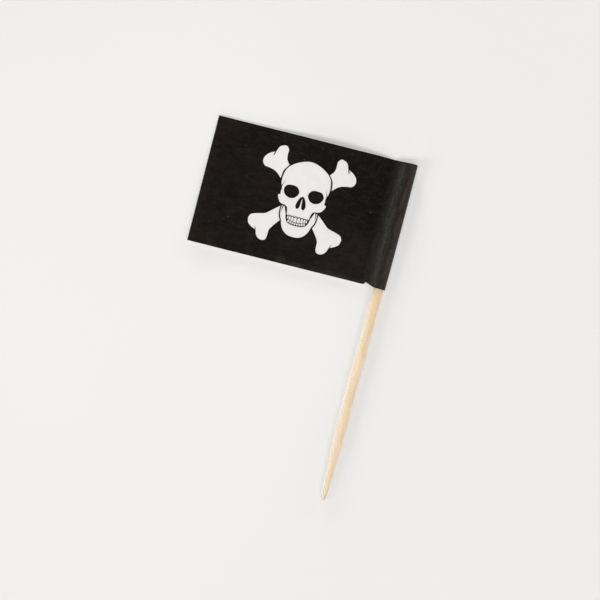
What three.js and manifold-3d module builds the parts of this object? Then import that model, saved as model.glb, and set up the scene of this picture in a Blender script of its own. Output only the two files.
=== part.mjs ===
// Flag pick: a round wooden pick with a small printed paper flag folded and glued round its top.
// Millimetres, +Z up. It lies on a table: the pick along Y with its point at -Y, the flag's leaf
// flat and reaching towards -X. The origin is the centre of the bounding box's underside.

import * as THREE from "three";
import { mergeVertices } from "three/addons/utils/BufferGeometryUtils.js";
import Module from "manifold-3d";

// Wooden pick
const pickLength = 66.7;
const pickTopDiameter = 2.1;
const pickShoulderDiameter = 1.96;
const pickPointLength = 9;
const pickTipRadius = 0.3;
const pickTopChamfer = 0.12;
const pickBelowFlagTop = 1.1;

// Paper flag, measured flat from its fold to its free edge
const flagLength = 40;
const flagHeight = 25;
const paperThickness = 0.1;
const inkThickness = 0.02;
const glueThickness = 0.02;
const glueMargin = 0.4;
const filmGap = 0.005;
const tunnelLength = 3.3;

// Printed figure, a plain skull over crossed bones, left as bare paper in the black ink
const figureWidth = 18.9;
const figureShift = 0.1;
const figureRaise = 0.4;
const inkLine = 0.1;
const toothCorner = 0.12;
const upperTeeth = { count: 4, width: 0.62, shrink: 0.84, top: -3.47 };
const lowerTeeth = { count: 4, width: 0.46, shrink: 0.98, bottom: -4.96 };
const bite = { middle: -4.5, rise: 0.1 };

// Faceting
const pickSides = 32;
const pointSteps = 10;
const foldSegments = 20;
const outlineSegments = 2;

// Outlines of the figure as drawn 18.9 mm wide, from its centre line and its middle height. Each
// stretch is a smooth curve through its points, and stretches meet in corners.
const drawnWidth = 18.9;
const skullHalf = [
  [[0, 7.64], [2.2, 7.03], [3.8, 6], [4.6, 5], [4.85, 3.8], [4.82, 2.9], [4.58, 1.76]],
  [[4.58, 1.76], [4.42, 1.3], [4.48, 0.7], [4.4, 0.2]],
  [[4.4, 0.2], [4.86, 0.1], [4.73, -0.54], [4.3, -1.25], [3.07, -1.55]],
  [[3.07, -1.55], [2.66, -1.96], [2.39, -2.6], [2.25, -3.37]],
  [[2.25, -3.37], [0, -3.37]],
];
const jawHalf = [
  [[0, -5.06], [1.6, -5.06]],
  [[1.6, -5.06], [2.05, -4.4], [2.36, -3.5], [2.6, -2.5], [2.93, -1.85]],
  [[2.93, -1.85], [3.66, -1.85]],
  [[3.66, -1.85], [3.66, -2.7], [3.44, -3.55], [3, -4.32], [2.8, -5.3], [1.92, -6.76], [0, -7.43]],
];
const eye = [
  [[1, 1.35], [1.4, 2.2], [2.4, 2.48], [3.4, 2.27], [3.86, 1.4], [3.45, 0.36], [2.4, 0], [1.4, 0.32], [1, 1.35]],
];
const noseHalf = [
  [[0, 0.68], [0.6, 0.02], [0.93, -0.9], [0.8, -1.8], [0.34, -1.72], [0.14, -0.6], [0, -0.2]],
];
const upperBone = [
  [[4, 6.14], [4.66, 6.96], [4.82, 7.97], [4.86, 9.1], [5.7, 9.53], [6.8, 9.08], [7.26, 7.97]],
  [[7.26, 7.97], [8.54, 7.36], [9.3, 6.5], [9.4, 5.5], [8.54, 4.8], [6.65, 4.32], [5.7, 3.8], [5.09, 3.1]],
  [[5.09, 3.1], [5.02, 3.9], [4.8, 5], [4, 6.14]],
];
const lowerBone = [
  [[3.84, -1.98], [5, -2.86], [6.24, -4.02], [8.27, -4.53], [9.2, -5], [9.4, -6.2], [8.8, -7.12], [7.46, -7.77]],
  [[7.46, -7.77], [7.1, -8.75], [6.24, -9.4], [5.2, -9.4], [4.86, -8.5], [4.76, -7.1], [3.95, -5.81], [3.1, -4.8]],
  [[3.1, -4.8], [3.6, -3.6], [3.82, -2.75], [3.84, -1.98]],
];

const wasm = await Module();
wasm.setup();

// Inner faces of the folded sheet: their radius round the pick and the distance between them in
// the leaf. The back leaf is straight, and the front leaf comes down to it past the pick.
const foldRadius = pickTopDiameter / 2 + glueThickness + 2 * filmGap;
const leafGap = 2 * (glueThickness + filmGap);
const inkOffset = paperThickness + filmGap + inkThickness;
const outerRadius = foldRadius + inkOffset;
const frontLevel = leafGap - foldRadius;
const leafReach = flagLength - outerRadius;

// How far the front wall leans from the crown of the fold to where the leaves meet
const wallAngle =
  Math.asin(foldRadius / Math.hypot(tunnelLength, frontLevel)) - Math.atan2(frontLevel, tunnelLength);

// Where the sheet leaves the pick for the front wall and for the back leaf
const frontTurn = Math.PI / 2 + wallAngle;
const backTurn = -Math.PI / 2;

// Lengths along Y, from the flag's top edge
const flagTop = Math.max(0, -pickBelowFlagTop);
const tipY = flagTop - pickBelowFlagTop - pickLength;
const lowestY = Math.min(tipY, flagTop - flagHeight);

const paperWhite = { color: 0xf0f1ef, roughness: 0.8, metalness: 0 };
const inkBlack = { color: 0x1d1a18, roughness: 0.45, metalness: 0 };
const paleWood = { color: 0xe6cfae, roughness: 0.7, metalness: 0 };
const clearGlue = { color: 0xe8e6dc, roughness: 0.4, metalness: 0 };

function mesh(name, geometry, finish) {
  const made = new THREE.Mesh(geometry, new THREE.MeshStandardMaterial(finish));
  made.name = name;
  return made;
}

function solidOf(geometry) {
  const bare = geometry.clone();
  bare.deleteAttribute("normal");
  bare.deleteAttribute("uv");
  const merged = mergeVertices(bare, 1e-4);
  return new wasm.Manifold(
    new wasm.Mesh({
      numProp: 3,
      vertProperties: merged.attributes.position.array,
      triVerts: new Uint32Array(merged.index.array),
    }),
  );
}

function geometryOf(solid) {
  const { vertProperties, triVerts } = solid.getMesh();
  const geometry = new THREE.BufferGeometry();
  geometry.setAttribute("position", new THREE.BufferAttribute(vertProperties, 3));
  geometry.setIndex(new THREE.BufferAttribute(triVerts, 1));
  geometry.computeVertexNormals();
  return geometry;
}

// One side of the folded sheet as a path from the front leaf's free edge, over the pick and along
// the back leaf. The offset is outwards from the sheet's inner face.
function foldedLine(path, offset, endX) {
  const radius = foldRadius + offset;
  path.lineTo(endX, frontLevel + offset);
  path.lineTo(bendX(offset), frontLevel + offset);
  path.absarc(0, 0, radius, frontTurn, backTurn, true);
  path.lineTo(endX, -radius);
}

// The same path from the back leaf's free edge to the front leaf's.
function foldedLineBack(path, offset, endX) {
  const radius = foldRadius + offset;
  path.lineTo(endX, -radius);
  path.absarc(0, 0, radius, backTurn, frontTurn, false);
  path.lineTo(bendX(offset), frontLevel + offset);
  path.lineTo(endX, frontLevel + offset);
}

// Where the front wall meets the leaf.
function bendX(offset) {
  const level = frontLevel + offset;
  return (level * Math.cos(wallAngle) - foldRadius - offset) / Math.sin(wallAngle);
}

// A layer that follows the fold between two offsets, open at the free edge.
function foldedLayer(inner, outer) {
  const section = new THREE.Shape();
  section.moveTo(-leafReach, frontLevel + outer);
  foldedLine(section, outer, -leafReach);
  foldedLineBack(section, inner, -leafReach);
  return alongFlag(section, flagHeight, 0);
}

// Extrudes a section of the flag down along -Y, starting `start` below its top edge.
function alongFlag(section, length, start) {
  const geometry = new THREE.ExtrudeGeometry(section, {
    depth: length,
    bevelEnabled: false,
    curveSegments: foldSegments,
  });
  return geometry.rotateX(Math.PI / 2).translate(0, flagTop - start, 0);
}

function pickGeometry() {
  const topRadius = pickTopDiameter / 2;
  const shoulderRadius = pickShoulderDiameter / 2;
  const profile = [new THREE.Vector2(0, 0)];
  for (let i = 1; i <= 3; i++) {
    const turn = (i * Math.PI) / 6;
    profile.push(new THREE.Vector2(Math.sin(turn), 1 - Math.cos(turn)).multiplyScalar(pickTipRadius));
  }
  for (let i = 1; i <= pointSteps; i++) {
    const share = i / pointSteps;
    const swell = Math.sin((share * Math.PI) / 2);
    profile.push(
      new THREE.Vector2(
        THREE.MathUtils.lerp(pickTipRadius, shoulderRadius, swell),
        THREE.MathUtils.lerp(pickTipRadius, pickPointLength, share),
      ),
    );
  }
  profile.push(new THREE.Vector2(topRadius, pickLength - pickTopChamfer));
  profile.push(new THREE.Vector2(topRadius - pickTopChamfer, pickLength));
  profile.push(new THREE.Vector2(0, pickLength));
  return new THREE.LatheGeometry(profile, pickSides).translate(0, tipY, 0);
}

// Glue on the whole inner side of the sheet: it bonds the wood in the fold and joins the two
// leaves, and the tunnel beside the pick stays open.
function glueGeometry() {
  const section = new THREE.Shape();
  const endX = -leafReach + glueMargin;
  section.moveTo(endX, frontLevel - filmGap);
  foldedLine(section, -filmGap, endX);
  const boreRadius = pickTopDiameter / 2 + filmGap;
  const bore = new THREE.Path();
  bore.absarc(0, 0, boreRadius, backTurn, frontTurn);
  bore.lineTo(-boreRadius / Math.tan(wallAngle / 2), -boreRadius);
  section.holes.push(bore);
  return alongFlag(section, flagHeight - 2 * glueMargin, glueMargin);
}

function outlineShape(stretches, side = 1) {
  const scale = figureWidth / drawnWidth;
  const point = ([x, y]) => new THREE.Vector2(side * x * scale, y * scale);
  const shape = new THREE.Shape();
  const start = point(stretches[0][0]);
  shape.moveTo(start.x, start.y);
  for (const stretch of stretches) shape.splineThru(stretch.slice(1).map(point));
  return shape;
}

// Completes an outline whose first stretch leaves the centre line and whose last returns to it.
function symmetric(half) {
  const other = half.map((stretch) => stretch.map(([x, y]) => [-x, y]).reverse());
  const start = [...other[0], ...half[0].slice(1)];
  if (half.length === 1) return [start];
  const end = [...half.at(-1), ...other.at(-1).slice(1)];
  return [...half.slice(1, -1), end, ...other.slice(1, -1).reverse(), start];
}

// A tooth with its corners cut off, in the outlines' own scale.
function toothOutline(x, width, top, bottom) {
  const half = (width - inkLine) / 2;
  const corner = Math.min(toothCorner, half / 2, (top - bottom) / 4);
  const loop = [
    [half, top - corner],
    [half - corner, top],
    [corner - half, top],
    [-half, top - corner],
    [-half, bottom + corner],
    [corner - half, bottom],
    [half - corner, bottom],
    [half, bottom + corner],
  ].map(([across, y]) => [x + across, y]);
  return loop.map((point, i) => [point, loop[(i + 1) % loop.length]]);
}

// The height of the line between the two rows of teeth.
const biteAt = (x) => bite.middle + bite.rise * x * x;

function teethShapes() {
  const shapes = [];
  for (const side of [1, -1]) {
    for (const row of [upperTeeth, lowerTeeth]) {
      let [edge, width] = [0, row.width];
      for (let i = 0; i < row.count; i++) {
        const x = side * (edge + width / 2);
        const top = row.top ?? biteAt(x) - inkLine / 2;
        const bottom = row.bottom ?? biteAt(x) + inkLine / 2;
        shapes.push(outlineShape(toothOutline(x, width, top, bottom)));
        edge += width;
        width *= row.shrink;
      }
    }
  }
  return shapes;
}

// The ink's level on the front of the leaf, and on its back.
const inkBase = { front: frontLevel + paperThickness + filmGap, back: -outerRadius };
const figureX = outerRadius - flagLength / 2 - figureShift;
const figureY = flagTop - flagHeight / 2 + figureRaise;

function onLeaf(shape, depth, level) {
  const settings = { depth, bevelEnabled: false, curveSegments: outlineSegments };
  return new THREE.ExtrudeGeometry(shape, settings).translate(figureX, figureY, level);
}

function blackPrint() {
  let film = solidOf(foldedLayer(paperThickness + filmGap, inkOffset));
  const bare = [
    outlineShape(symmetric(skullHalf)),
    outlineShape(symmetric(jawHalf)),
    ...[1, -1].flatMap((side) => [outlineShape(upperBone, side), outlineShape(lowerBone, side)]),
    ...teethShapes(),
  ];
  for (const level of [inkBase.front, inkBase.back])
    for (const shape of bare)
      film = film.subtract(solidOf(onLeaf(shape, 3 * inkThickness, level - inkThickness)));
  return geometryOf(film);
}

// The parts of the print that stand alone inside the bare skull.
function islands() {
  const shapes = {
    left_eye_print: outlineShape(eye, 1),
    right_eye_print: outlineShape(eye, -1),
    nose_print: outlineShape(symmetric(noseHalf)),
  };
  return Object.entries(inkBase).flatMap(([face, level]) =>
    Object.entries(shapes).map(([name, shape]) =>
      mesh(`${face}_${name}`, onLeaf(shape, inkThickness, level), inkBlack),
    ),
  );
}

const flagPick = new THREE.Group();
flagPick.add(mesh("pick", pickGeometry(), paleWood));
flagPick.add(mesh("flag_sheet", foldedLayer(0, paperThickness), paperWhite));
flagPick.add(mesh("flag_glue", glueGeometry(), clearGlue));
flagPick.add(mesh("black_print", blackPrint(), inkBlack));
flagPick.add(...islands());
flagPick.position.set((leafReach - outerRadius) / 2, -(flagTop + lowestY) / 2, outerRadius);

export default flagPick;
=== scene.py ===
"""Dresses the flag pick: a round wooden pick with a printed paper flag folded and glued round it.

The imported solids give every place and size. The wood, the folded paper, its glue and its print
are modelled again here with the small unevenness of the real thing, and take the solids' place.
"""
import logging
import math
from collections.abc import Callable, Iterator, Sequence
from contextlib import contextmanager
from dataclasses import dataclass, field
from enum import Enum
from functools import reduce

import bmesh
import bpy
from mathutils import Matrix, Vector, noise


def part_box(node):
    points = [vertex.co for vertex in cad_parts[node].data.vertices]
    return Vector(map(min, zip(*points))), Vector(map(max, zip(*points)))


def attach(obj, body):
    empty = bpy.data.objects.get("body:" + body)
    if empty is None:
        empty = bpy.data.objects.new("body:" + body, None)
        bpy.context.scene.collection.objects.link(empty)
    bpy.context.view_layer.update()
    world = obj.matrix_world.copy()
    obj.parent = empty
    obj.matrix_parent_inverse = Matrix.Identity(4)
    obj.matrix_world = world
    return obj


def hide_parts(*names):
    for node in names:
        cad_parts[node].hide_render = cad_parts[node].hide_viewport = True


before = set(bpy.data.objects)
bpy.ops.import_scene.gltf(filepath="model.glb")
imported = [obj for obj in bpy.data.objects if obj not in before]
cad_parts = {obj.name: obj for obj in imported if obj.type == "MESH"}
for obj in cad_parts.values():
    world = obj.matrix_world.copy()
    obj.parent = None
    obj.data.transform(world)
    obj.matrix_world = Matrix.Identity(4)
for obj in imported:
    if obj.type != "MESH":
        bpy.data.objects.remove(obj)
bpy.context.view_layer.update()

LOG = logging.getLogger("flag_pick")
MM = 0.001
Point = tuple[float, float]
Stretch = tuple[Point, ...]
Colour = tuple[float, float, float]
Piece = bpy.types.Object
Socket = bpy.types.NodeSocket


class Side(Enum):
    """The two printed faces of the flag, as the sign of their level."""

    FRONT = 1
    BACK = -1

    @property
    def word(self) -> str:
        """The side's word in a node's name."""
        return self.name.lower()


class Spot(Enum):
    """The spots of ink that stand alone inside the bare skull."""

    LEFT_EYE = "left_eye"
    RIGHT_EYE = "right_eye"
    NOSE = "nose"


# General moves on a mesh


def activate(piece: Piece) -> None:
    """Makes a piece the active one and the only one selected.

    Args:
        piece: The object.
    """
    bpy.ops.object.select_all(action="DESELECT")
    bpy.context.view_layer.objects.active = piece
    piece.select_set(True)


@contextmanager
def editing(piece: Piece, action: str = "DESELECT") -> Iterator[None]:
    """Opens a piece in edit mode, and leaves edit mode at the end.

    Args:
        piece: The mesh object to work on.
        action: SELECT to start with everything selected, and otherwise DESELECT.
    """
    activate(piece)
    bpy.ops.object.mode_set(mode="EDIT")
    bpy.ops.mesh.select_all(action=action)
    yield
    bpy.ops.object.mode_set(mode="OBJECT")


def select_edges(piece: Piece, wanted: Callable[[Vector], bool]) -> None:
    """Selects the edges whose two ends both pass a test, on a piece in edit mode.

    Args:
        piece: The mesh object in edit mode.
        wanted: The test on a vertex's place.
    """
    mesh = bmesh.from_edit_mesh(piece.data)
    for edge in mesh.edges:
        edge.select_set(all(wanted(vertex.co) for vertex in edge.verts))
    bmesh.update_edit_mesh(piece.data)


def start_piece(name: str) -> Piece:
    """Names the primitive that was just added and puts its place and size into its mesh.

    Args:
        name: The name of the new piece.

    Returns:
        The piece, at the origin, unturned and unscaled.
    """
    piece = bpy.context.object
    piece.name = piece.data.name = name
    activate(piece)
    bpy.ops.object.transform_apply(location=True, rotation=True, scale=True)
    return piece


def copy_of(piece: Piece, name: str) -> Piece:
    """Copies a piece with a mesh of its own.

    Args:
        piece: The piece to copy.
        name: The name of the copy.

    Returns:
        The copy.
    """
    copy = piece.copy()
    copy.data = piece.data.copy()
    copy.name = copy.data.name = name
    bpy.context.collection.objects.link(copy)
    return copy


def apply_modifier(piece: Piece, kind: str, **settings: object) -> None:
    """Adds a modifier to a piece and applies it.

    Args:
        piece: The mesh object.
        kind: The modifier's type.
        **settings: The modifier's values.
    """
    modifier = piece.modifiers.new(kind.lower(), kind)
    for setting, value in settings.items():
        setattr(modifier, setting, value)
    activate(piece)
    bpy.ops.object.modifier_apply(modifier=modifier.name)


def shade(piece: Piece, sharp_above: float = 30.0) -> None:
    """Shades a piece smooth, apart from its sharp edges.

    Args:
        piece: The mesh object.
        sharp_above: The angle in degrees above which an edge stays sharp.
    """
    activate(piece)
    bpy.ops.object.shade_smooth_by_angle(angle=math.radians(sharp_above))


def smooth_step(value: float, low: float, high: float) -> float:
    """A smooth rise from 0 at the low value to 1 at the high one."""
    share = min(max((value - low) / (high - low), 0.0), 1.0)
    return share * share * (3.0 - 2.0 * share)


# Materials


class NodeSheet:
    """A node tree, with short calls for the nodes that the finishes and the sky share."""

    def __init__(self, owner: bpy.types.ID, shader: str = "Principled BSDF") -> None:
        """Starts a node tree with only its shader and its coordinates.

        Args:
            owner: The material, or the world.
            shader: The name of its shader.
        """
        owner.use_nodes = True
        self.owner = owner
        self.tree = owner.node_tree
        self.shader = self.tree.nodes[shader]
        self.coordinates = self.add("TexCoord").outputs
        self.place = self.coordinates["Object"]

    def fill(self, socket: Socket, value: object) -> None:
        """Links an input to a socket, or gives it a plain value.

        Args:
            socket: The input.
            value: A socket, a number, a colour or a vector.
        """
        if isinstance(value, Socket):
            self.tree.links.new(value, socket)
        elif socket.type == "RGBA":
            socket.default_value = (*value, 1.0)
        else:
            socket.default_value = value

    def add(self, kind: str, **inputs: object) -> bpy.types.Node:
        """Adds a node and fills its inputs.

        Args:
            kind: The node's type without its ShaderNode prefix.
            **inputs: Input names, with underscores for spaces, and their values or sockets.

        Returns:
            The new node.
        """
        node = self.tree.nodes.new("ShaderNode" + kind)
        for name, value in inputs.items():
            self.fill(node.inputs[name.replace("_", " ")], value)
        return node

    def noise(self, size: Sequence[float], detail: float = 2.0, rough: float = 0.5) -> Socket:
        """Noise in grains of a given size.

        Args:
            size: The grain's size in millimetres along X, Y and Z.
            detail: The noise's octaves.
            rough: The share of each finer octave.

        Returns:
            The noise's socket.
        """
        scale = tuple(1.0 / (MM * length) for length in size)
        place = self.add("Mapping", Vector=self.place, Scale=scale).outputs[0]
        grains = self.add("TexNoise", Vector=place, Scale=1.0, Detail=detail, Roughness=rough)
        return grains.outputs[0]

    def spread(
        self, value: Socket, low: float, high: float, start: object = 0.0, end: float = 1.0
    ) -> Socket:
        """Spreads the part of a value between two levels over a new range.

        Args:
            value: The socket that gives the value.
            low: The level that becomes the start.
            high: The level that becomes the end.
            start: The first value of the new range, or its socket.
            end: The last value of the new range.

        Returns:
            The result's socket.
        """
        node = self.add("MapRange", Value=value)
        for socket, level in zip(node.inputs[1:5], (low, high, start, end)):
            self.fill(socket, level)
        return node.outputs[0]

    def mix(self, share: object, first: object, second: object) -> Socket:
        """Mixes two colours.

        Args:
            share: The second colour's share, a number or a socket.
            first: The first colour, or its socket.
            second: The second colour, or its socket.

        Returns:
            The mixed colour's socket.
        """
        node = self.add("Mix")
        node.data_type = "RGBA"
        for place, value in ((0, share), (6, first), (7, second)):
            self.fill(node.inputs[place], value)
        return node.outputs[2]

    def tint(
        self, tone: object, colour: object, value: Socket, low: float, high: float, most: float = 1.0
    ) -> Socket:
        """Mixes up to a share of a colour into a tone, as a value runs from low to high."""
        return self.mix(self.spread(value, low, high, 0.0, most), tone, colour)

    def maths(self, action: str, first: object, second: object) -> Socket:
        """One step of arithmetic.

        Args:
            action: The operation, such as ADD or MULTIPLY.
            first: The first value or socket.
            second: The second value or socket.

        Returns:
            The result's socket.
        """
        node = self.add("Math")
        node.operation = action
        for socket, value in zip(node.inputs, (first, second)):
            self.fill(socket, value)
        return node.outputs[0]

    def uneven(self, value: Socket, by: Socket, low: float, high: float, limits: Point) -> Socket:
        """Scales a value by a factor between two limits, as another runs from low to high."""
        return self.maths("MULTIPLY", value, self.spread(by, low, high, *limits))

    def along(self, axis: str) -> Socket:
        """The object coordinate along one axis, in metres."""
        return self.add("SeparateXYZ", Vector=self.place).outputs[axis]

    def ramp(self, value: Socket, stops: Sequence[Point]) -> Socket:
        """A curve through given levels.

        Args:
            value: The socket that is read, from 0 to 1.
            stops: The places and their levels, from 0 to 1.

        Returns:
            The level's socket.
        """
        node = self.add("ValToRGB", Fac=value)
        colours = node.color_ramp.elements
        for place, _ in stops[2:]:
            colours.new(place)
        for colour, (place, level) in zip(colours, sorted(stops)):
            colour.position = place
            colour.color = (level, level, level, 1.0)
        return node.outputs["Color"]

    def patch(self, middle: Point, radii: Point) -> Socket:
        """A soft round patch, 1 in its middle and 0 from its rim on.

        Args:
            middle: Its middle, in metres.
            radii: Its two radii, in metres.

        Returns:
            The patch's socket.
        """
        place = self.add("Mapping", Vector=self.place, Location=(*middle, 0.0), Scale=(*radii, 1.0))
        place.vector_type = "TEXTURE"
        ball = self.add("TexGradient", Vector=place.outputs[0])
        ball.gradient_type = "SPHERICAL"
        return self.spread(ball.outputs[1], 0.0, 0.6)

    def bump(self, height: Socket, depth: float) -> None:
        """Raises the surface by a height map from 0 to 1, to a depth in millimetres."""
        node = self.add("Bump", Height=height, Strength=1.0, Distance=depth * MM)
        self.set("Normal", node.outputs[0])

    def set(self, name: str, value: object) -> None:
        """Fills one of the shader's own inputs."""
        self.fill(self.shader.inputs[name], value)

    def seen_directly(self) -> Socket:
        """Whether a ray comes from the camera, or from it by a mirror or a glass.

        Returns:
            The answer's socket, 1 or 0.
        """
        path = self.add("LightPath").outputs
        plain_or_mirrored = self.maths("MAXIMUM", path["Is Camera Ray"], path["Is Glossy Ray"])
        return self.maths("MAXIMUM", plain_or_mirrored, path["Is Transmission Ray"])


@dataclass(frozen=True)
class BarePaper:
    """Uncoated white paper, with fine fibres and a faint cloudiness."""

    colour: Colour = (0.85, 0.838, 0.822)
    cloud: Colour = (0.82, 0.81, 0.796)
    roughness: float = 0.82
    specular: float = 0.25
    fibre_depth: float = 0.012

    def material(self) -> bpy.types.Material:
        """Builds the material.

        Returns:
            The material.
        """
        sheet = NodeSheet(bpy.data.materials.new("bare_paper"))
        darker_patches = sheet.noise((1.6, 1.6, 1.6), detail=3.0)
        sheet.set("Base Color", sheet.tint(self.colour, self.cloud, darker_patches, 0.4, 0.75))
        sheet.set("Roughness", self.roughness)
        sheet.set("Specular IOR Level", self.specular)
        sheet.bump(sheet.noise((0.25, 0.1, 0.2), detail=4.0, rough=0.65), self.fibre_depth)
        return sheet.owner


@dataclass(frozen=True)
class BlackInk:
    """Black print on paper: nearly matte, uneven, dusty, worn over the pick, with painted highlight and
    shade.

    The patches are placed from the upper corner on the fold: how far left and how far down.
    """

    corner: Point
    colour: Colour = (0.0086, 0.0055, 0.0037)
    # Darker ink at random, and painted shade where the bowed leaf's sheen is weak.
    deep: Colour = (0.0032, 0.0024, 0.0013)
    # Paler ink at random, and painted sheen where the bowed leaf catches more light.
    pale_tone_and_sheen: Colour = (0.0165, 0.0112, 0.0086)
    # Two pale tones over the pick, from its crown to the tunnel's front wall: partly wear from rubbing,
    # partly painted highlight.
    crown_rub_and_highlight: Colour = (0.0445, 0.036, 0.0295)
    wall_rub_and_highlight: Colour = (0.0365, 0.0358, 0.03)
    dust: Colour = (0.03, 0.028, 0.022)
    speck: Colour = (0.07, 0.07, 0.062)
    roughness: Point = (0.38, 0.52)
    specular: float = 0.1
    fibre_depth: float = 0.008
    specks_a_metre: float = 550.0
    rub_and_highlight_reach: float = 6.0 * MM
    rub_and_highlight_wander: float = 0.035
    # How pale the fold is painted, across from its edge: painted highlight on the pick's crown and the
    # tunnel's front wall, partly wear from rubbing, with a painted shade line at the crease just past the
    # crown.
    rub_levels: Stretch = (
        (0.0, 1.0), (0.1, 1.0), (0.16, 0.86), (0.2, 0.68), (0.245, 0.38), (0.285, 0.36), (0.33, 0.56),
        (0.38, 0.76), (0.43, 0.88), (0.48, 0.8), (0.53, 0.6), (0.57, 0.38), (0.62, 0.2), (0.67, 0.17),
        (0.7, 0.2), (0.76, 0.07), (0.83, 0.0),
    )

    def material(self) -> bpy.types.Material:
        """Builds the material.

        Returns:
            The material.
        """
        sheet = NodeSheet(bpy.data.materials.new("black_ink"))
        # Painted shade and painted sheen of the bowed leaf, as broad darker and paler patches, over darker
        # ink at random.
        tone = sheet.mix(self.darker_patches(sheet), self.colour, self.deep)
        tone = sheet.mix(self.painted_sheen(sheet), tone, self.pale_tone_and_sheen)
        mottle = sheet.noise((1.7, 0.9, 1.7), detail=4.0, rough=0.75)
        tone = sheet.tint(tone, self.deep, mottle, 0.48, 0.66, 0.85)
        tone = sheet.tint(tone, self.pale_tone_and_sheen, mottle, 0.5, 0.32, 0.75)
        # Painted highlight, partly wear from rubbing, over the pick and down the tunnel's front wall, with a
        # painted shade line at the crease just past the pick's crown.
        across = sheet.spread(sheet.along("X"), self.corner[0], self.corner[0] - self.rub_and_highlight_reach)
        streaks = sheet.noise((0.4, 3.6, 0.4), detail=4.0, rough=0.6)
        drift = sheet.noise((9.0, 3.5, 9.0))
        wander = sheet.spread(drift, 0.3, 0.7, -self.rub_and_highlight_wander, self.rub_and_highlight_wander)
        rub_and_highlight = sheet.ramp(sheet.maths("ADD", across, wander), self.rub_levels)
        rub_and_highlight = sheet.uneven(rub_and_highlight, streaks, 0.34, 0.6, (0.55, 1.15))
        grain = sheet.noise((0.42, 0.55, 0.42), detail=3.0, rough=0.7)
        rub_and_highlight = sheet.uneven(rub_and_highlight, grain, 0.36, 0.64, (0.66, 1.34))
        tone = sheet.mix(rub_and_highlight, tone, sheet.tint(self.crown_rub_and_highlight, self.wall_rub_and_highlight, across, 0.25, 0.4))
        dust = sheet.noise((0.3, 0.3, 0.3), detail=3.0, rough=0.7)
        tone = sheet.tint(tone, self.dust, dust, 0.5, 0.78, 0.35)
        tone = sheet.mix(self.scuffs(sheet), tone, self.dust)
        sheet.set("Base Color", sheet.mix(self.specks(sheet), tone, self.speck))
        sheet.set("Roughness", sheet.spread(streaks, 0.3, 0.7, *self.roughness))
        sheet.set("Specular IOR Level", self.specular)
        sheet.bump(sheet.noise((0.22, 0.16, 0.2), detail=4.0, rough=0.6), self.fibre_depth)
        return sheet.owner

    def patches(self, sheet: NodeSheet, *patches: tuple[float, float, float, float]) -> Socket:
        """Soft patches on the flag.

        Args:
            sheet: The material's node tree.
            *patches: How far left and down each one's middle is, and its two radii, in millimetres.

        Returns:
            The patches' socket, 1 in their middles.
        """
        made = []
        for left, down, wide, high in patches:
            middle = (self.corner[0] - left * MM, self.corner[1] - down * MM)
            made.append(sheet.patch(middle, (wide * MM, high * MM)))
        return reduce(lambda first, second: sheet.maths("MAXIMUM", first, second), made)

    def darker_patches(self, sheet: NodeSheet) -> Socket:
        """Painted shade where the bowed leaf's sheen is weak, behind the skull's brow and beside the pick,
        with deeper ink at random.

        Args:
            sheet: The material's node tree.

        Returns:
            The share of the deep tone.
        """
        deep = self.patches(sheet, (8, 9, 9, 12), (16, 3, 9, 5))
        drift = sheet.noise((4.0, 5.0, 4.0), detail=3.0)
        deep = sheet.uneven(deep, drift, 0.35, 0.7, (0.6, 1.15))
        return sheet.maths("MAXIMUM", deep, sheet.spread(drift, 0.5, 0.75, 0.0, 0.45))

    def painted_sheen(self, sheet: NodeSheet) -> Socket:
        """Painted sheen: the print is painted paler low beside the pick, at the free corners and along the
        free edge.
        """
        pale = self.patches(sheet, (8, 21, 8, 7), (40, 25, 8, 7), (40, 0, 8, 5), (40, 13, 2.4, 19))
        return sheet.uneven(pale, sheet.noise((2.4, 2.4, 2.4), detail=3.0), 0.35, 0.7, (0.45, 1.0))

    def scuffs(self, sheet: NodeSheet) -> Socket:
        """Where the lower edge is worn: two short scuff marks, and a rim beside the pick.

        Args:
            sheet: The material's node tree.

        Returns:
            The share of the scuffs.
        """
        worn = self.patches(sheet, (21.3, 24.5, 1.4, 0.8), (18.1, 25.0, 2.6, 0.9), (10.5, 25.3, 8.5, 1.3))
        drift = sheet.noise((0.7, 0.4, 0.7), detail=3.0, rough=0.7)
        return sheet.uneven(worn, drift, 0.38, 0.6, (0.25, 1.0))

    def specks(self, sheet: NodeSheet) -> Socket:
        """A few pale specks of dust and missing ink.

        Args:
            sheet: The material's node tree.

        Returns:
            The share of the specks.
        """
        place = sheet.add("Mapping", Vector=sheet.place, Scale=(self.specks_a_metre,) * 3)
        cells = sheet.add("TexVoronoi", Vector=place.outputs[0], Scale=1.0)
        near = sheet.spread(cells.outputs["Distance"], 0.09, 0.03)
        return sheet.uneven(near, sheet.noise((2.2, 2.2, 2.2), detail=1.0), 0.45, 0.58, (0.0, 1.0))


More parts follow.
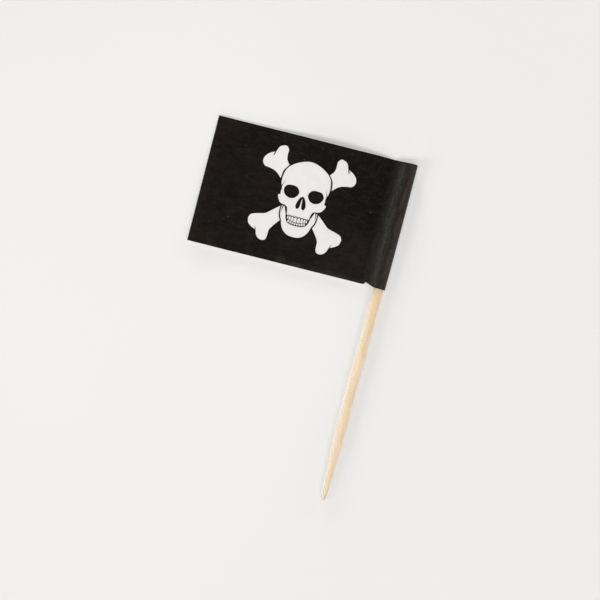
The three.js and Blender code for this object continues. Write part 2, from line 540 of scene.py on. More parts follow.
@dataclass(frozen=True)
class PaleWood:
    """Turned pale birch with fine darker fibres along it, paler towards the point, dull at its end."""

    top: float
    bottom: float
    upper: Colour = (0.75, 0.6, 0.43)
    middle: Colour = (0.755, 0.64, 0.505)
    lower: Colour = (0.735, 0.625, 0.49)
    point: Colour = (0.67, 0.6, 0.5)
    end: Colour = (0.5, 0.44, 0.36)
    band: Colour = (0.74, 0.53, 0.34)
    fibre: Colour = (0.58, 0.38, 0.21)
    roughness: float = 0.62
    specular: float = 0.18
    glow_depth: float = 3.2 * MM
    glow_colour: Colour = (1.0, 0.92, 0.84)
    fibre_depth: float = 0.01

    def material(self) -> bpy.types.Material:
        """Builds the material.

        Returns:
            The material.
        """
        sheet = NodeSheet(bpy.data.materials.new("pale_wood"))
        down = sheet.spread(sheet.along("Y"), self.top, self.bottom)
        tone = sheet.tint(self.upper, self.middle, down, 0.0, 0.35)
        tone = sheet.tint(tone, self.lower, down, 0.45, 1.0)
        tone = sheet.tint(tone, self.point, down, 0.88, 0.98)
        tone = sheet.tint(tone, self.end, down, 0.972, 0.996)
        tone = sheet.tint(tone, self.band, sheet.noise((0.5, 9.0, 0.5)), 0.45, 0.7, 0.6)
        fibres = sheet.noise((0.22, 3.6, 0.22), detail=4.0, rough=0.65)
        pores = sheet.spread(sheet.noise((0.2, 0.55, 0.2)), 0.56, 0.72, 0.0, 0.5)
        dark = sheet.maths("MAXIMUM", sheet.spread(fibres, 0.5, 0.72, 0.0, 0.45), pores)
        sheet.set("Base Color", sheet.mix(dark, tone, self.fibre))
        sheet.set("Subsurface Weight", 1.0)
        sheet.set("Subsurface Radius", self.glow_colour)
        sheet.set("Subsurface Scale", self.glow_depth)
        sheet.set("Roughness", self.roughness)
        sheet.set("Specular IOR Level", self.specular)
        sheet.bump(fibres, self.fibre_depth)
        return sheet.owner


@dataclass(frozen=True)
class DryGlue:
    """A thin dry coat of white glue."""

    colour: Colour = (0.8, 0.79, 0.74)
    hollow: Colour = (0.7, 0.68, 0.62)
    roughness: Point = (0.3, 0.5)
    ripple_depth: float = 0.01

    def material(self) -> bpy.types.Material:
        """Builds the material.

        Returns:
            The material.
        """
        sheet = NodeSheet(bpy.data.materials.new("dry_glue"))
        ripples = sheet.noise((0.6, 0.6, 0.6), detail=3.0)
        sheet.set("Base Color", sheet.tint(self.colour, self.hollow, ripples, 0.3, 0.7))
        sheet.set("Roughness", sheet.spread(ripples, 0.3, 0.7, *self.roughness))
        sheet.bump(ripples, self.ripple_depth)
        return sheet.owner


@dataclass(frozen=True)
class PaleFloor:
    """A matte, slightly warm white table, with a painted pool of light that makes it a little brighter on
    the left.

    Seen directly, a share of it glows, so that its shadows stay faint.
    """

    colour: Colour = (0.866, 0.857, 0.841)
    # The colour in the middle of the painted pool of light.
    bright: Colour = (0.894, 0.885, 0.869)
    black: Colour = (0.0, 0.0, 0.0)
    stain: float = 0.01
    pool_middle: Point = (-31.0 * MM, 1.0 * MM)
    pool_reach: float = 75.0 * MM
    roughness: float = 0.9
    specular: float = 0.1
    glow: float = 0.47

    def material(self) -> bpy.types.Material:
        """Builds the material.

        Returns:
            The material.
        """
        sheet = NodeSheet(bpy.data.materials.new("pale_floor"))
        # A painted pool of light: the table is painted a little brighter towards the left.
        pool = sheet.patch(self.pool_middle, (self.pool_reach, self.pool_reach))
        drift = sheet.noise((60.0, 60.0, 60.0), detail=1.0)
        tone = sheet.mix(pool, self.colour, self.bright)
        tone = sheet.tint(tone, self.black, drift, 0.3, 0.7, self.stain)
        sheet.set("Base Color", tone)
        sheet.set("Roughness", self.roughness)
        sheet.set("Specular IOR Level", self.specular)
        light = sheet.add("Emission", Color=tone, Strength=1.0)
        share = sheet.maths("MULTIPLY", sheet.seen_directly(), self.glow)
        blend = sheet.add("MixShader", Fac=share)
        sheet.fill(blend.inputs[1], sheet.shader.outputs[0])
        sheet.fill(blend.inputs[2], light.outputs[0])
        sheet.fill(sheet.tree.nodes["Material Output"].inputs["Surface"], blend.outputs[0])
        return sheet.owner


# The printed figure


@dataclass(frozen=True)
class Figure:
    """A traditional skull over crossed bones, in millimetres from its own middle.

    Each outline is a run of stretches. A stretch is a smooth curve through its points, and
    stretches meet in corners. A half outline starts and ends on the centre line.
    """

    steps: int = 6
    tooth_line: float = 0.095
    skull_half: tuple[Stretch, ...] = (
        (
            (0, 7.66), (1.2, 7.46), (2.3, 7.03), (3.2, 6.5), (3.9, 5.95), (4.5, 5.1), (4.76, 4), (4.82, 3),
            (4.66, 1.95),
        ),
        ((4.66, 1.95), (4.34, 2.5), (4.08, 3.25)),
        ((4.08, 3.25), (4.26, 2.5), (4.5, 1.82)),
        ((4.5, 1.82), (4.41, 1.3), (4.48, 0.7), (4.4, 0.2)),
        ((4.4, 0.2), (4.82, 0.08), (4.68, -0.5), (4.22, -1.22), (3.7, -1.5), (3.07, -1.58)),
        ((3.07, -1.58), (2.58, -1.86), (2.38, -2.4), (2.28, -3), (2.26, -3.28)),
        (
            (2.26, -3.28), (2.07, -3.36), (1.89, -3.25), (1.71, -3.38), (1.49, -3.24), (1.26, -3.39),
            (0.98, -3.22), (0.7, -3.4), (0.36, -3.22), (0, -3.4),
        ),
    )
    jaw_half: tuple[Stretch, ...] = (
        ((0, -5.12), (0.9, -5.05), (1.75, -4.86)),
        ((1.75, -4.86), (2.12, -4.35), (2.34, -3.85), (2.44, -3.3), (2.65, -2.75), (2.87, -2.2), (3, -1.84)),
        ((3, -1.84), (3.2, -1.78)),
        ((3.2, -1.78), (3.33, -2.35), (3.46, -3.15)),
        ((3.46, -3.15), (3.48, -2.35), (3.4, -1.78)),
        ((3.4, -1.78), (3.6, -1.84)),
        ((3.6, -1.84), (3.62, -2.6), (3.53, -3.4), (3.31, -4.1), (3.03, -4.6)),
        ((3.03, -4.6), (2.88, -5.2), (2.5, -6.05), (1.86, -6.75), (0.98, -7.19), (0, -7.3)),
    )
    eye: tuple[Stretch, ...] = (
        (
            (0.92, 1.15), (1.1, 1.88), (1.65, 2.36), (2.5, 2.47), (3.4, 2.34), (3.9, 1.82),
            (3.98, 1.15), (3.5, 0.36), (2.5, -0.05), (1.5, 0.24), (0.92, 1.15),
        ),
    )
    nose_half: tuple[Stretch, ...] = (
        (
            (0, 0.75), (0.32, 0.6), (0.62, 0.16), (0.9, -0.6), (0.99, -1.3), (0.68, -1.79), (0.26, -1.55),
            (0.13, -0.8), (0.06, 0.1), (0, 0.3),
        ),
    )
    upper_bone: tuple[Stretch, ...] = (
        ((4.1, 6.12), (4.74, 6.95), (4.93, 7.97), (4.96, 9), (5.6, 9.6), (6.72, 9.2), (7.24, 8.1)),
        ((7.24, 8.1), (7.36, 7.6), (7.66, 7.1)),
        ((7.66, 7.1), (7.6, 7.55), (7.44, 7.98)),
        (
            (7.44, 7.98), (8.4, 7.48), (9.15, 6.68), (9.33, 5.7), (8.8, 4.9), (7.9, 4.73), (6.9, 4.5),
            (6.1, 4.1), (5.14, 3.22),
        ),
        ((5.14, 3.22), (5.08, 3.9), (4.88, 4.95), (4.1, 6.12)),
    )
    lower_bone: tuple[Stretch, ...] = (
        ((3.84, -1.98), (4.6, -2.6), (5.6, -3.46), (6.4, -4.06), (7.9, -4.46), (9.04, -4.92), (9.42, -5.7)),
        ((9.42, -5.7), (9.14, -6.64), (8.3, -7.28), (7.52, -7.6)),
        ((7.52, -7.6), (7.64, -7.25), (7.82, -6.9)),
        ((7.82, -6.9), (7.55, -7.2), (7.38, -7.7)),
        ((7.38, -7.7), (7.1, -8.5), (6.5, -9.12), (5.75, -9.3), (5.12, -9), (4.94, -8.2), (4.92, -7.2)),
        ((4.92, -7.2), (4.66, -6.6), (4.04, -5.7), (3.26, -4.72)),
        ((3.26, -4.72), (3.58, -4.15), (3.8, -3.4), (3.86, -2.7), (3.84, -1.98)),
    )
    tooth_waist: float = 0.45
    tooth_shoulder: Point = (0.8, 0.26)
    tooth_corner: Point = (0.92, 0.05)
    teeth_on_a_side: int = 4
    upper_width: float = 0.7
    upper_shrink: float = 0.8
    lower_width: float = 0.49
    lower_shrink: float = 0.95
    roots: float = -3.43
    feet: float = -4.98
    feet_rise: float = 0.085
    bite_middle: float = -4.5
    bite_rise: float = 0.11

    @staticmethod
    def mirrored(outline: tuple[Stretch, ...]) -> tuple[Stretch, ...]:
        """The outline on the other side of the centre line, in the same turning sense."""
        return tuple(tuple((-x, y) for x, y in reversed(stretch)) for stretch in reversed(outline))

    def whole(self, half: tuple[Stretch, ...]) -> tuple[Stretch, ...]:
        """Completes a half outline.

        Args:
            half: The stretches from the centre line round to the centre line.

        Returns:
            The closed outline, smooth where it crosses the centre line.
        """
        other = self.mirrored(half)
        top = other[-1] + half[0][1:]
        if len(half) == 1:
            return (top,)
        bottom = half[-1] + other[0][1:]
        return half[1:-1] + (bottom,) + other[1:-1] + (top,)

    def loop(self, outline: tuple[Stretch, ...]) -> list[Point]:
        """Turns an outline into the points of one closed loop.

        Args:
            outline: The closed outline's stretches.

        Returns:
            The loop's points, in metres.
        """
        points: list[Point] = []
        for stretch in outline:
            closed = stretch[0] == stretch[-1]
            ends = (stretch[-2 if closed else 0],) + stretch + (stretch[1 if closed else -1],)
            for i in range(1, len(ends) - 2):
                steps = 1 if len(stretch) == 2 else self.steps
                points += [self.on_curve(ends[i - 1 : i + 3], j / steps) for j in range(steps)]
        return [(x * MM, y * MM) for x, y in points]

    @staticmethod
    def on_curve(near: Sequence[Point], t: float) -> Point:
        """A point of the smooth curve between the middle two of four points.

        Args:
            near: The four points.
            t: The share of the way from the second to the third.

        Returns:
            The point.
        """
        a, b, c, d = (Vector(point) for point in near)
        slope_b, slope_c = (c - a) / 2, (d - b) / 2
        rest = (2 * b - 2 * c + slope_b + slope_c) * t**3
        point = rest + (3 * c - 3 * b - 2 * slope_b - slope_c) * t**2 + slope_b * t + b
        return (point.x, point.y)

    def tooth(self, x: float, width: float, root: float, edge: float) -> tuple[Stretch, ...]:
        """One tooth, round at its root and flat at its biting edge.

        Args:
            x: Its middle.
            width: Its width with the line beside it.
            root: The height of its root.
            edge: The height of its biting edge.

        Returns:
            Its closed outline.
        """
        half = (width - self.tooth_line) / 2
        up = 1 if root > edge else -1
        waist = root - self.tooth_waist * (root - edge)
        shoulder, high = self.tooth_shoulder[0] * half, root - self.tooth_shoulder[1] * width * up
        corner, low = self.tooth_corner[0] * half, edge + self.tooth_corner[1] * up
        crown = ((x + half, waist), (x + shoulder, high), (x, root), (x - shoulder, high), (x - half, waist))
        foot = ((x - half, waist), (x - corner, low), (x, edge), (x + corner, low), (x + half, waist))
        return (crown, foot)

    def teeth(self) -> list[tuple[Stretch, ...]]:
        """Both rows of teeth.

        Returns:
            Their closed outlines.
        """
        upper = (self.upper_width, self.upper_shrink, self.roots, 0.0)
        lower = (self.lower_width, self.lower_shrink, self.feet, self.feet_rise)
        outlines = []
        for side in (1, -1):
            for width, shrink, root, rise in (upper, lower):
                inner = 0.0
                for _ in range(self.teeth_on_a_side):
                    x = side * (inner + width / 2)
                    bite = self.bite_middle + self.bite_rise * x * x
                    edge = bite + math.copysign(self.tooth_line / 2, root - bite)
                    outlines.append(self.tooth(x, width, root + rise * x * x, edge))
                    inner += width
                    width *= shrink
        return outlines

    def bare(self) -> list[list[Point]]:
        """All that is left as bare paper.

        Returns:
            Its closed loops, in metres.
        """
        bones = [self.upper_bone, self.lower_bone]
        outlines = [self.whole(self.skull_half), self.whole(self.jaw_half), *bones]
        outlines += [self.mirrored(bone) for bone in bones] + self.teeth()
        return [self.loop(outline) for outline in outlines]

    def spot(self, spot: Spot) -> list[Point]:
        """One spot of ink inside the skull.

        Args:
            spot: Which one.

        Returns:
            Its closed loop, in metres.
        """
        outlines = {
            Spot.LEFT_EYE: self.eye,
            Spot.RIGHT_EYE: self.mirrored(self.eye),
            Spot.NOSE: self.whole(self.nose_half),
        }
        return self.loop(outlines[spot])


def prism(name: str, loops: Sequence[Sequence[Point]], middle: Point, low: float, high: float) -> Piece:
    """Upright solids on flat loops, to cut with.

    Args:
        name: The new object's name.
        loops: The closed loops, in metres from the middle.
        middle: The place of the loops' middle.
        low: The level of the undersides.
        high: The level of the tops.

    Returns:
        One object that holds all the solids.
    """
    mesh = bpy.data.meshes.new(name)
    places, edges = [], []
    for loop in loops:
        first = len(places)
        places += [(middle[0] + x, middle[1] + y, low) for x, y in loop]
        edges += [(first + i, first + (i + 1) % len(loop)) for i in range(len(loop))]
    mesh.from_pydata(places, edges, [])
    piece = bpy.data.objects.new(name, mesh)
    bpy.context.collection.objects.link(piece)
    with editing(piece, "SELECT"):
        bpy.ops.mesh.edge_face_add()
        bpy.ops.mesh.select_all(action="SELECT")
        bpy.ops.mesh.extrude_region_move(TRANSFORM_OT_translate={"value": (0, 0, high - low)})
        bpy.ops.mesh.select_all(action="SELECT")
        bpy.ops.mesh.normals_make_consistent(inside=False)
    return piece


# The flag


@dataclass
class PaperFlag:
    """The folded and glued paper flag, with its print.

    It is built straight, with its fold round the origin's Y axis and its back leaf flat, and
    then settles: it is cut a little out of square, and its leaf bows up off the table.
    """

    outer_radius: float
    top: float
    height: float
    length: float
    axis: Vector
    paper: float = 0.1 * MM
    ink: float = 0.02 * MM
    glue: float = 0.018 * MM
    film_gap: float = 0.005 * MM
    leaf_gap: float = 0.05 * MM
    glue_margin: float = 0.4 * MM
    bare_rim: float = 0.03 * MM
    tunnel: float = 3.3 * MM
    ease: float = 0.6 * MM
    cell: float = 1.0 * MM
    fold_steps: int = 28
    wall_steps: int = 14
    back_steps: int = 4
    figure_shift: float = 0.1 * MM
    figure_raise: float = 0.36 * MM
    low_drop: float = 0.48 * MM
    top_drop: float = 0.43 * MM
    low_slant: float = 0.2 * MM
    lift_start: float = 2.7 * MM
    lift_end: float = 5.8 * MM
    lift: float = 0.24 * MM
    bow_middle: float = 15.3 * MM
    bow_reach: float = 9.8 * MM
    bow_power: float = 1.5
    top_bow: float = 1.2 * MM
    corner_lift: float = 0.27 * MM
    corner_start: float = 0.7
    ripple: float = 0.03 * MM
    ripple_cell: Point = (8.0 * MM, 6.0 * MM)
    dent_cell: Point = (1.5 * MM, 4.0 * MM)
    dent_span: Point = (0.3, 0.6)
    top_swell: float = 0.07 * MM
    top_swell_span: Point = (0.03, 0.2)
    top_dip: float = 0.085 * MM
    top_dip_middle: float = 0.36
    top_dip_reach: float = 0.16
    low_swell: float = 0.045 * MM
    sleeve_swell: float = 0.19 * MM
    sleeve_swell_span: Point = (-0.08, -0.03)
    end_slide: float = 0.1 * MM
    slack: float = 0.08 * MM
    slack_belly: float = 2.6
    slack_start: float = 0.4
    tear: Stretch = (
        (4.4, -0.3), (4.35, 0.03), (4.16, 0.2), (3.98, 0.52), (3.62, 0.47), (2.9, 0.29), (1.9, 0.04),
        (1.7, -0.3),
    )
    figure: Figure = field(default_factory=Figure)

    def __post_init__(self) -> None:
        """Works out the levels of the sheet and the lean of its front wall from the sizes."""
        self.ink_level = self.paper + self.film_gap
        self.fold_radius = self.outer_radius - self.ink_level - self.ink
        self.front = self.leaf_gap - self.fold_radius
        self.reach = self.length - self.outer_radius
        slant = math.hypot(self.tunnel, self.front)
        self.wall_angle = math.asin(self.fold_radius / slant) - math.atan2(self.front, self.tunnel)

    def wall(self) -> list[Vector]:
        """The tunnel's front wall, from the end of the flat leaf up to where it meets the pick.

        Returns:
            The points of the wall's section after its first.
        """
        angle, radius = self.wall_angle, self.fold_radius
        corner = Vector((-self.tunnel, 0, self.front))
        foot = corner - Vector((self.ease, 0, 0))
        head = Vector((-radius * math.sin(angle), 0, radius * math.cos(angle)))
        rise = (head - corner).normalized()
        controls = (foot, corner, corner + rise * self.ease, head)
        points = []
        for i in range(1, self.wall_steps + 1):
            t = i / self.wall_steps
            weights = ((1 - t) ** 3, 3 * t * (1 - t) ** 2, 3 * t * t * (1 - t), t**3)
            points.append(sum((c * w for c, w in zip(controls, weights)), Vector()))
        return points

    def fold(self) -> Piece:
        """Folds the sheet's inner face: front leaf, front wall, the turn over the pick, back leaf.

        Returns:
            The open surface, facing out.
        """
        start = -self.tunnel - self.ease
        flat = self.reach + start
        columns, rows = round(flat / self.cell), round(self.height / self.cell)
        bpy.ops.mesh.primitive_grid_add(x_subdivisions=columns, y_subdivisions=rows, size=1.0)
        grid = bpy.context.object
        grid.scale = (flat, self.height, 1.0)
        grid.location = (start - flat / 2, self.top - self.height / 2, self.front)
        sheet = start_piece("fold")
        bottom = -self.fold_radius
        back = [Vector((start * i / self.back_steps, 0, bottom)) for i in range(1, self.back_steps + 1)]
        back += [Vector((start - flat * i / columns, 0, bottom)) for i in range(1, columns + 1)]
        with editing(sheet):
            bpy.ops.mesh.select_mode(type="EDGE")
            select_edges(sheet, lambda co: co.x > start - 0.1 * self.cell)
            self.draw_along(Vector((start, 0, self.front)), self.wall())
            turn = math.pi + self.wall_angle
            bpy.ops.mesh.spin(steps=self.fold_steps, angle=-turn, center=(0, 0, 0), axis=(0, 1, 0))
            self.draw_along(Vector((0, 0, bottom)), back)
        self.face_out(sheet)
        return sheet

    @staticmethod
    def draw_along(last: Vector, points: Sequence[Vector]) -> None:
        """Extrudes the selected edges along a run of points.

        Args:
            last: The section's point where the edges are.
            points: The points that follow.
        """
        for point in points:
            bpy.ops.mesh.extrude_region_move(TRANSFORM_OT_translate={"value": point - last})
            last = point

    @staticmethod
    def face_out(sheet: Piece) -> None:
        """Turns the faces of the open surface so that the upper leaf faces up.

        Args:
            sheet: The surface.
        """
        with editing(sheet, "SELECT"):
            bpy.ops.mesh.normals_make_consistent(inside=False)
        highest = max(sheet.data.polygons, key=lambda face: face.center.z)
        if highest.normal.z < 0:
            sheet.data.flip_normals()

    def layer(self, sheet: Piece, name: str, start: float, thickness: float) -> Piece:
        """A closed layer over the folded surface.

        Args:
            sheet: The folded surface.
            name: The layer's name.
            start: Its distance outwards from the surface.
            thickness: Its thickness.

        Returns:
            The layer.
        """
        layer = copy_of(sheet, name)
        with editing(layer, "SELECT"):
            bpy.ops.transform.shrink_fatten(value=start, use_even_offset=True)
        apply_modifier(layer, "SOLIDIFY", thickness=thickness, offset=1.0, use_even_offset=True)
        return layer

    def trim(self, layer: Piece, across: float, end: float) -> None:
        """Draws a layer in from the sheet's cut edges.

        Args:
            layer: The layer.
            across: How far it stays from the upper and lower edges.
            end: How far it stays from the free edge.
        """
        middle = self.top - self.height / 2
        share = 1 - 2 * across / self.height
        for vertex in layer.data.vertices:
            vertex.co.y = middle + (vertex.co.y - middle) * share
            if vertex.co.x < -self.reach + 0.5 * self.cell:
                vertex.co.x += end

    @property
    def figure_middle(self) -> Point:
        """The middle of the printed figure on the level flag."""
        x = self.outer_radius - self.length / 2 - self.figure_shift
        return (x, self.top - self.height / 2 + self.figure_raise)

    def levels(self, side: Side) -> Point:
        """The levels between which a cutter goes through one face's ink only.

        Args:
            side: The face.

        Returns:
            The lowest and the highest level.
        """
        near, far = 0.5 * self.paper, self.ink_level + 4 * self.ink
        if side is Side.FRONT:
            return (self.front + near, self.front + far)
        return (-self.fold_radius - far, -self.fold_radius - near)

    def cut(self, piece: Piece, cutter: Piece, action: str = "DIFFERENCE") -> None:
        """Cuts a piece with another (DIFFERENCE), or keeps what they share (INTERSECT)."""
        apply_modifier(piece, "BOOLEAN", object=cutter, operation=action, solver="EXACT")

    def nick(self) -> Piece:
        """A small tear in the front leaf's lower edge, at the foot of the tunnel's wall.

        Returns:
            The tear's cutter.
        """
        loop = [(-u * MM, v * MM) for u, v in self.tear]
        start = (self.outer_radius, self.top - self.height)
        return prism("nick_cutter", [loop], start, self.front - 0.4 * self.leaf_gap, self.outer_radius)

    def spots(self, film: Piece) -> list[Piece]:
        """The spots of ink inside the skulls, cut from a copy of the whole film.

        Args:
            film: The film of ink before its openings are cut.

        Returns:
            The spots of both faces.
        """
        made = []
        for side in Side:
            low, high = self.levels(side)
            for spot in Spot:
                name = f"{side.word}_{spot.value}_ink"
                piece = copy_of(film, name)
                cutter = prism("spot_cutter", [self.figure.spot(spot)], self.figure_middle, low, high)
                self.cut(piece, cutter, "INTERSECT")
                bpy.data.objects.remove(cutter)
                made.append(piece)
        return made

    def settle(self, piece: Piece) -> None:
        """Moves a straight layer to where the real flag lies.

        Args:
            piece: The layer, or a spot of ink.
        """
        for vertex in piece.data.vertices:
            x, y, z = vertex.co
            out = min(max(-x / self.reach, 0.0), 1.0)
            up = (y - self.top + self.height) / self.height
            slide = out * (self.end_slide + self.low_slant * (1 - up))
            slack = self.slack * (1 + self.slack_belly * up * (1 - up))
            slide += slack * smooth_step(x, self.slack_start * self.outer_radius, self.outer_radius)
            drop = out * (self.low_drop + (self.top_drop - self.low_drop) * up) - self.swell(out, up)
            vertex.co += Vector((slide, -drop, self.rise(x, y, z, up))) + self.axis
        piece.data.update()

    def swell(self, out: float, up: float) -> float:
        """How far the cut edges lie outside a straight strip, upwards.

        Args:
            out: The share of the way from the pick to the free edge.
            up: The share of the way from the lower edge to the top edge.

        Returns:
            The shift in metres.
        """
        top = self.top_swell * smooth_step(out, *self.top_swell_span)
        top -= self.top_dip * math.exp(-(((out - self.top_dip_middle) / self.top_dip_reach) ** 2))
        low = self.low_swell + self.sleeve_swell * smooth_step(-out, *self.sleeve_swell_span)
        return top * up - low * (1 - up)

    def rise(self, x: float, y: float, z: float, up: float) -> float:
        """How far a point of the straight flag comes up as the leaf bows.

        Args:
            x: Its place across, from the pick's axis.
            y: Its place along the pick.
            z: Its level, from the pick's axis.
            up: Its share of the way from the lower edge to the top edge.

        Returns:
            The rise in metres.
        """
        away = (-x - self.bow_middle) / self.bow_reach
        bow = self.top_bow * math.exp(-(away**2)) * max(up, 0.0) ** self.bow_power
        corner = self.corner_lift * (1 - up) * smooth_step(-x, self.corner_start * self.reach, self.reach)
        waves = 0.5 + 0.5 * noise.noise(Vector((x / self.ripple_cell[0], y / self.ripple_cell[1], 0)))
        lift = self.lift + bow + corner + self.ripple * waves
        rise = lift * smooth_step(-x, self.lift_start, self.lift_end)
        start, end = (share * self.tunnel for share in self.dent_span)
        wall = smooth_step(-x, start, end) * smooth_step(z, self.front, 0.0)
        dents = noise.noise(Vector((x / self.dent_cell[0], y / self.dent_cell[1], 7)))
        return rise + self.ripple * dents * wall

    def build(self) -> dict[str, Piece]:
        """Builds every layer of the flag.

        Returns:
            The pieces by the name of the solid that each one stands for.
        """
        fold = self.fold()
        paper = self.layer(fold, "paper_sheet", 0.0, self.paper)
        glue = self.layer(fold, "glue_coat", -self.film_gap - self.glue, self.glue)
        ink = self.layer(fold, "ink_film", self.ink_level, self.ink)
        self.trim(glue, self.glue_margin, self.glue_margin)
        self.trim(ink, self.bare_rim, self.bare_rim)
        spots = self.spots(ink)
        for side in Side:
            cutter = prism("figure_cutter", self.figure.bare(), self.figure_middle, *self.levels(side))
            self.cut(ink, cutter)
            bpy.data.objects.remove(cutter)
        nick = self.nick()
        for piece in (paper, glue, ink):
            self.cut(piece, nick)
        bpy.data.objects.remove(nick)
        bpy.data.objects.remove(fold)
        nodes = {"flag_sheet": paper, "flag_glue": glue, "black_print": ink}
        nodes.update({spot.name.replace("_ink", "_print"): spot for spot in spots})
        for piece in nodes.values():
            self.settle(piece)
            shade(piece)
        return nodes

    def dress(self, nodes: dict[str, Piece]) -> None:
        """Gives each layer its finish, its body and the solid that it stands for.

        Args:
            nodes: The pieces by the name of their solid.
        """
        fold_edge = self.axis.x + self.outer_radius + self.slack
        ink = BlackInk(corner=(fold_edge, self.top)).material()
        finishes = {
            "flag_sheet": ("white_paper", BarePaper().material()),
            "flag_glue": ("dry_glue", DryGlue().material()),
        }
        for node, piece in nodes.items():
            slot, material = finishes.get(node, ("black_ink", ink))
            piece.data.materials.clear()
            piece.data.materials.append(material)
            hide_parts(node)
            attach(piece, "root")
            LOG.info("%s stands for %s", piece.name, node)


# The pick


@dataclass
class WoodenPick:
    """The turned wooden pick: a blunt top, a long round shank and a rounded point."""

    axis: Vector
    top: float
    tip: float
    top_radius: float
    shoulder_radius: float = 0.98 * MM
    point_length: float = 10.0 * MM
    point_taper: float = 0.85
    point_rings: int = 12
    tip_radius: float = 0.5 * MM
    tip_angles: tuple[int, ...] = (0, 22, 44, 66)
    rim: float = 0.12 * MM
    sides: int = 64
    ring_gap: float = 1.1 * MM
    groove: float = 0.018 * MM
    deepest_groove: float = 0.2
    grain_radius: float = 3.1
    grain_length: float = 14.0 * MM
    grain_fineness: float = 1.7
    swell_length: float = 9.0 * MM
    swell_row: float = 4.0
    core: float = 0.1 * MM
    sink: float = 0.2 * MM
    sink_start: float = 0.4
    point_lie: float = 0.9
    wave: float = 0.13 * MM
    wave_up: float = 22.0 * MM
    wave_reach: float = 4.5 * MM

    def radius(self, height: float) -> float:
        """The pick's radius at a height above its tip.

        Args:
            height: The height in metres.

        Returns:
            The radius in metres.
        """
        if height < self.tip_radius:
            return math.sqrt(max(height * (2 * self.tip_radius - height), 0.0))
        if height < self.point_length:
            share = (height - self.tip_radius) / (self.point_length - self.tip_radius)
            return self.tip_radius + (self.shoulder_radius - self.tip_radius) * share**self.point_taper
        share = (height - self.point_length) / (self.top - self.tip - self.point_length)
        return self.shoulder_radius + (self.top_radius - self.shoulder_radius) * share

    def stations(self) -> list[float]:
        """The places of the rings below the top one.

        Returns:
            Their heights above the tip, from the top down.
        """
        length = self.top - self.tip
        shank = round((length - self.point_length) / self.ring_gap)
        heights = [length - (length - self.point_length) * i / shank for i in range(1, shank + 1)]
        point = [self.point_length * (1 - i / self.point_rings) for i in range(1, self.point_rings)]
        heights += [height for height in point if height > self.tip_radius]
        return heights + [self.tip_radius * (1 - math.sin(math.radians(a))) for a in self.tip_angles]

    def build(self) -> Piece:
        """Models the pick from a disc at its top, ring by ring.

        Returns:
            The pick.
        """
        bpy.ops.mesh.primitive_circle_add(
            vertices=self.sides,
            radius=self.top_radius,
            fill_type="NGON",
            location=(self.axis.x, self.top, self.axis.z),
            rotation=(-math.pi / 2, 0, 0),
        )
        pick = start_piece("turned_pick")
        with editing(pick, "SELECT"):
            last, last_radius = self.top - self.tip, self.top_radius
            for height in self.stations():
                radius = self.radius(height)
                bpy.ops.mesh.extrude_region_move(TRANSFORM_OT_translate={"value": (0, height - last, 0)})
                share = radius / last_radius
                centre = (self.axis.x, self.tip + height, self.axis.z)
                bpy.ops.transform.resize(value=(share, 1, share), center_override=centre)
                last, last_radius = height, radius
            bpy.ops.mesh.select_all(action="SELECT")
            bpy.ops.mesh.normals_make_consistent(inside=False)
        self.round_rim(pick)
        self.weather(pick)
        shade(pick, 40.0)
        return pick

    def round_rim(self, pick: Piece) -> None:
        """Bevels the edge of the blunt top.

        Args:
            pick: The pick.
        """
        with editing(pick):
            bpy.ops.mesh.select_mode(type="EDGE")
            select_edges(pick, lambda co: co.y > self.top - 1e-6)
            bpy.ops.mesh.bevel(offset=self.rim, segments=3, affect="EDGES")

    def weather(self, pick: Piece) -> None:
        """Draws fine grooves into the wood, always inwards, and lays the pick down.

        It waves a little to the side, its free end sinks, and its point lies on the table.

        Args:
            pick: The pick.
        """
        length = self.top - self.tip
        for vertex in pick.data.vertices:
            out = Vector((vertex.co.x - self.axis.x, 0, vertex.co.z - self.axis.z))
            if out.length < self.core:
                continue
            outwards = out.normalized()
            around = outwards * self.grain_radius
            place = Vector((around.x, vertex.co.y / self.grain_length, around.z))
            grain = noise.noise(place * self.grain_fineness) * 0.5 + 0.5
            place = Vector((vertex.co.y / self.swell_length, self.swell_row, outwards.x))
            swell = noise.noise(place) * 0.5 + 0.5
            depth = self.groove * (grain**2 + 0.5 * swell)
            vertex.co -= outwards * min(depth, self.deepest_groove * out.length)
        for vertex in pick.data.vertices:
            vertex.co.z -= self.sink * smooth_step(self.top - vertex.co.y, self.sink_start * length, length)
            thinned = self.shoulder_radius - self.radius(max(vertex.co.y - self.tip, self.tip_radius))
            vertex.co.z -= self.point_lie * max(thinned, 0.0)
            away = (vertex.co.y - self.tip - self.wave_up) / self.wave_reach
            vertex.co.x -= self.wave * math.exp(-(away**2))
        pick.data.update()

    def dress(self, pick: Piece, flag_low: float) -> None:
        """Gives the pick its wood, its body and its solid.

        Args:
            pick: The pick.
            flag_low: The height of the flag's lower edge along the pick.
        """
        pick.data.materials.clear()
        pick.data.materials.append(PaleWood(top=flag_low, bottom=self.tip).material())
        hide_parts("pick")
        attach(pick, "root")
        LOG.info("%s stands for pick", pick.name)


# The studio


@dataclass(frozen=True)
class Softbox:
    """A round soft lamp, turned to the middle of the table.

    Its azimuth is counted in degrees from +X towards +Y, and its elevation up from the table.
    """

    name: str
    azimuth: float
    elevation: float
    size: float
    watts: float
    distance: float = 2.2

    def build(self) -> None:
        """Hangs the lamp."""
        data = bpy.data.lights.new(self.name, "AREA")
        data.shape = "DISK"
        data.size = self.size
        data.energy = self.watts
        lamp = bpy.data.objects.new(self.name, data)
        around, up = math.radians(self.azimuth), math.radians(self.elevation)
        level = math.cos(up)
        towards = Vector((level * math.cos(around), level * math.sin(around), math.sin(up)))
        lamp.location = towards * self.distance
        lamp.rotation_euler = towards.to_track_quat("Z", "Y").to_euler()
        lamp.visible_camera = False
        bpy.context.collection.objects.link(lamp)


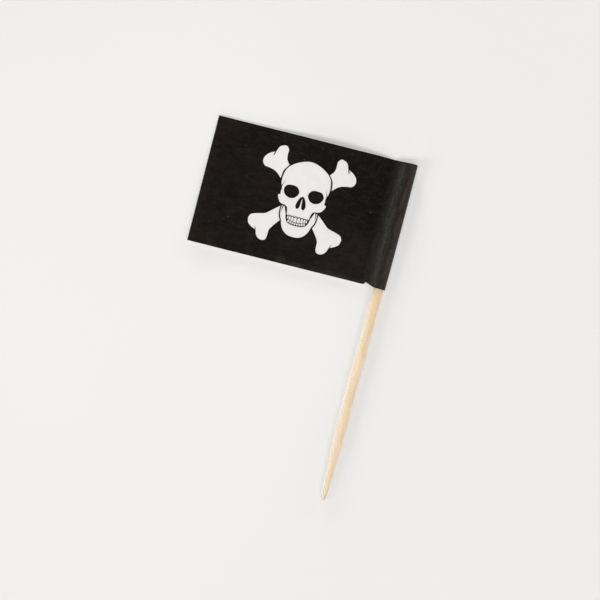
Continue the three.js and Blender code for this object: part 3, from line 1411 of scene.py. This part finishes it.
@dataclass
class Studio:
    """A pale table under soft light from the lower left, seen from straight above."""

    view_centre: Point = (4.575 * MM, 2.72 * MM)
    camera_height: float = 0.4
    sensor_width: float = 36.0
    frame_width: float = 117.15 * MM
    roll: float = 14.8
    floor_radius: float = 1.5
    horizon_seen: float = 0.86
    horizon_light: float = 0.7
    overhead: float = 0.03
    dim_from: float = 0.18
    dim_to: float = 0.32
    softboxes: tuple[Softbox, ...] = (
        Softbox("key_high", 250, 59, 0.8, 13.8),
        Softbox("key_low", 214, 33, 0.7, 16.8),
        Softbox("key_edge", 230, 18, 0.4, 5.5),
        Softbox("front", 320, 51, 0.8, 16.6),
        Softbox("front_low", 298, 20, 0.4, 6.6),
        Softbox("back_low", 115, 9, 0.5, 29.0),
        Softbox("right_low", 65, 11, 0.5, 16.0),
    )

    def camera(self) -> None:
        """Hangs the camera over the table, rolled as the photograph is."""
        data = bpy.data.cameras.new("camera")
        data.sensor_width = self.sensor_width
        data.lens = data.sensor_width * self.camera_height / self.frame_width
        data.clip_start = 0.01
        camera = bpy.data.objects.new("camera", data)
        camera.location = (*self.view_centre, self.camera_height)
        camera.rotation_euler = (0, 0, math.radians(self.roll))
        bpy.context.collection.objects.link(camera)
        bpy.context.scene.camera = camera

    def floor(self) -> None:
        """Lays the table's top."""
        bpy.ops.mesh.primitive_circle_add(vertices=64, radius=self.floor_radius, fill_type="NGON")
        floor = start_piece("table_top")
        floor.data.materials.append(PaleFloor().material())

    def light(self) -> None:
        """Lights the table with the lamps and a faint sky that looks pale along the horizon."""
        world = bpy.data.worlds.new("studio")
        sky = NodeSheet(world, "Background")
        height = sky.add("SeparateXYZ", Vector=sky.coordinates["Generated"]).outputs["Z"]
        level = sky.spread(sky.seen_directly(), 0.0, 1.0, self.horizon_light, self.horizon_seen)
        dimmed = sky.spread(height, self.dim_from, self.dim_to, level, self.overhead)
        dimmed.node.interpolation_type = "SMOOTHSTEP"
        sky.set("Color", (1.0, 1.0, 1.0))
        sky.set("Strength", dimmed)
        bpy.context.scene.world = world
        for softbox in self.softboxes:
            softbox.build()

    def build(self) -> None:
        """Sets up the table, the lights, the camera and the plain view transform."""
        self.floor()
        self.light()
        self.camera()
        bpy.context.scene.view_settings.view_transform = "Standard"


def main() -> None:
    """Builds the studio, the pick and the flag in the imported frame."""
    logging.basicConfig(level=logging.INFO, format="%(name)s: %(message)s")
    Studio().build()
    low, high = (Vector(corner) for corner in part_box("pick"))
    print_low, print_high = (Vector(corner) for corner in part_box("black_print"))
    axis = Vector(((low.x + high.x) / 2, 0, (low.z + high.z) / 2))
    wood_radius = (high.x - low.x) / 2
    flag = PaperFlag(
        outer_radius=print_high.x - axis.x,
        top=print_high.y,
        height=print_high.y - print_low.y,
        length=print_high.x - print_low.x,
        axis=axis,
    )
    flag.dress(flag.build())
    pick = WoodenPick(axis=axis, top=high.y, tip=low.y, top_radius=wood_radius)
    pick.dress(pick.build(), print_low.y)


if __name__ == "__main__":
    main()
